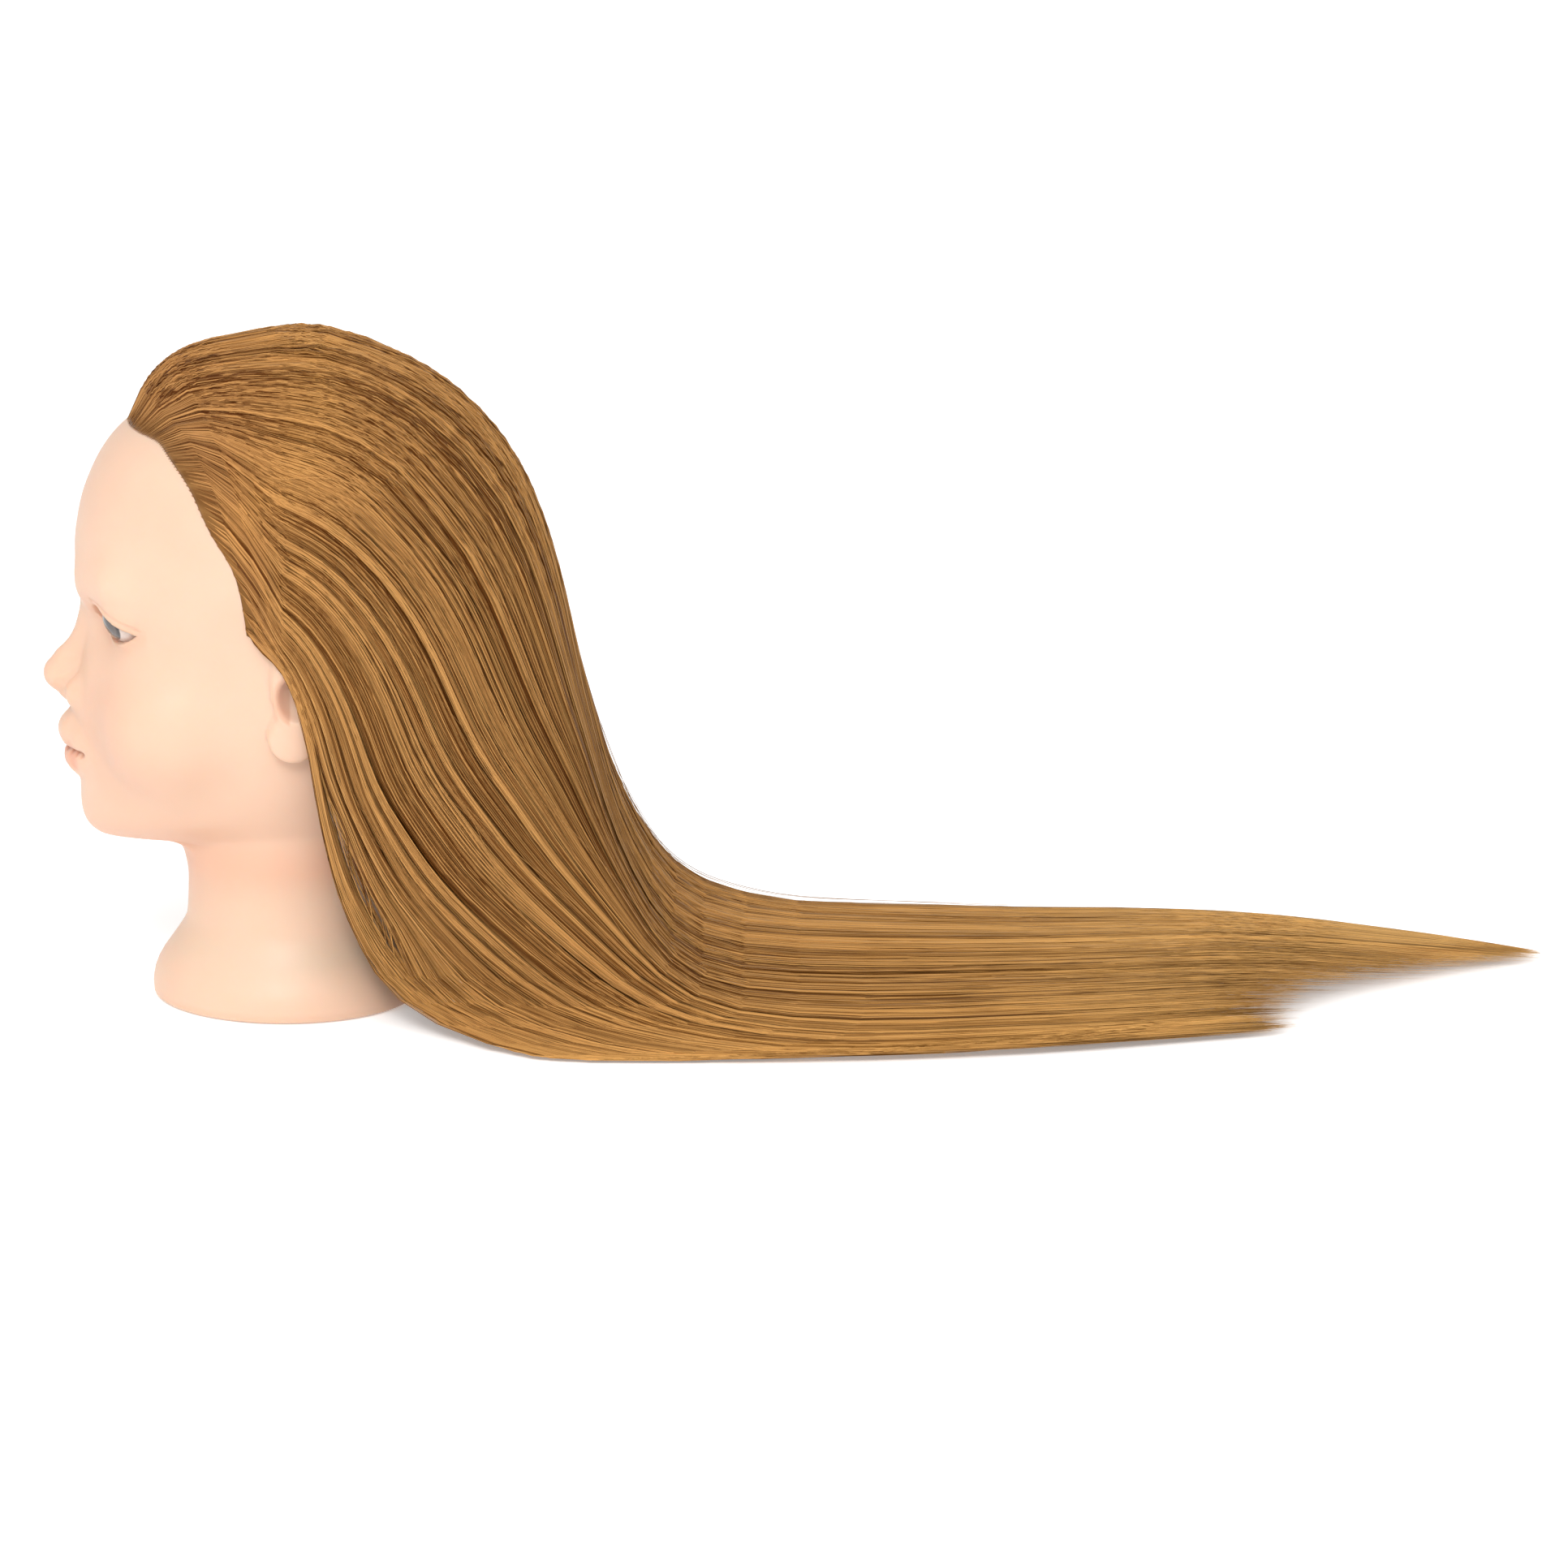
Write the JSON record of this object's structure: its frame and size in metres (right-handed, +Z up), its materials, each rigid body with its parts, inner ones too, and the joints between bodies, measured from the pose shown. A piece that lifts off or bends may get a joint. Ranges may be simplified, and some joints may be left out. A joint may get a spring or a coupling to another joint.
{
  "type": "mannequin training head",
  "caption": "Hollow soft-vinyl mannequin training head with inset eyes, rooted long straight hair combed back to lie along the table, and a clamp socket in the foot.",
  "frame": {"origin": "centre of the clamp socket's mouth, in the middle of the foot, on the plane the foot stands on", "axes": "+Z up; the face looks along -Y; the hair lies along +Y; +X is the head's own left"},
  "size_m": [0.1974, 0.6258, 0.28],
  "materials": {
    "skin": "soft satin vinyl",
    "root_glue": "cured glue coat",
    "eye_white": "polished",
    "eye_iris": "printed grey",
    "eye_pupil": "polished",
    "eye_cornea": "clear polished",
    "socket_plastic": "moulded",
    "base_plastic": "moulded",
    "screw_steel": "zinc plated",
    "hair": "glossy fibre"
  },
  "bodies": {
    "root": {"head_shell": "skin", "scalp_root_lining": "root_glue", "eye_shell_left": "eye_white", "eye_iris_left": "eye_iris", "eye_pupil_left": "eye_pupil", "eye_cornea_left": "eye_cornea", "eye_shell_right": "eye_white", "eye_iris_right": "eye_iris", "eye_pupil_right": "eye_pupil", "eye_cornea_right": "eye_cornea", "clamp_socket": "socket_plastic", "neck_base_plate": "base_plastic", "base_plate_screws": "screw_steel", "socket_steady": "base_plastic", "hair_top_left": "hair", "hair_top_right": "hair", "hair_middle_left": "hair", "hair_middle_right": "hair", "hair_side_left": "hair", "hair_side_right": "hair", "hair_nape_left": "hair", "hair_nape_right": "hair"}
  },
  "joints": []
}
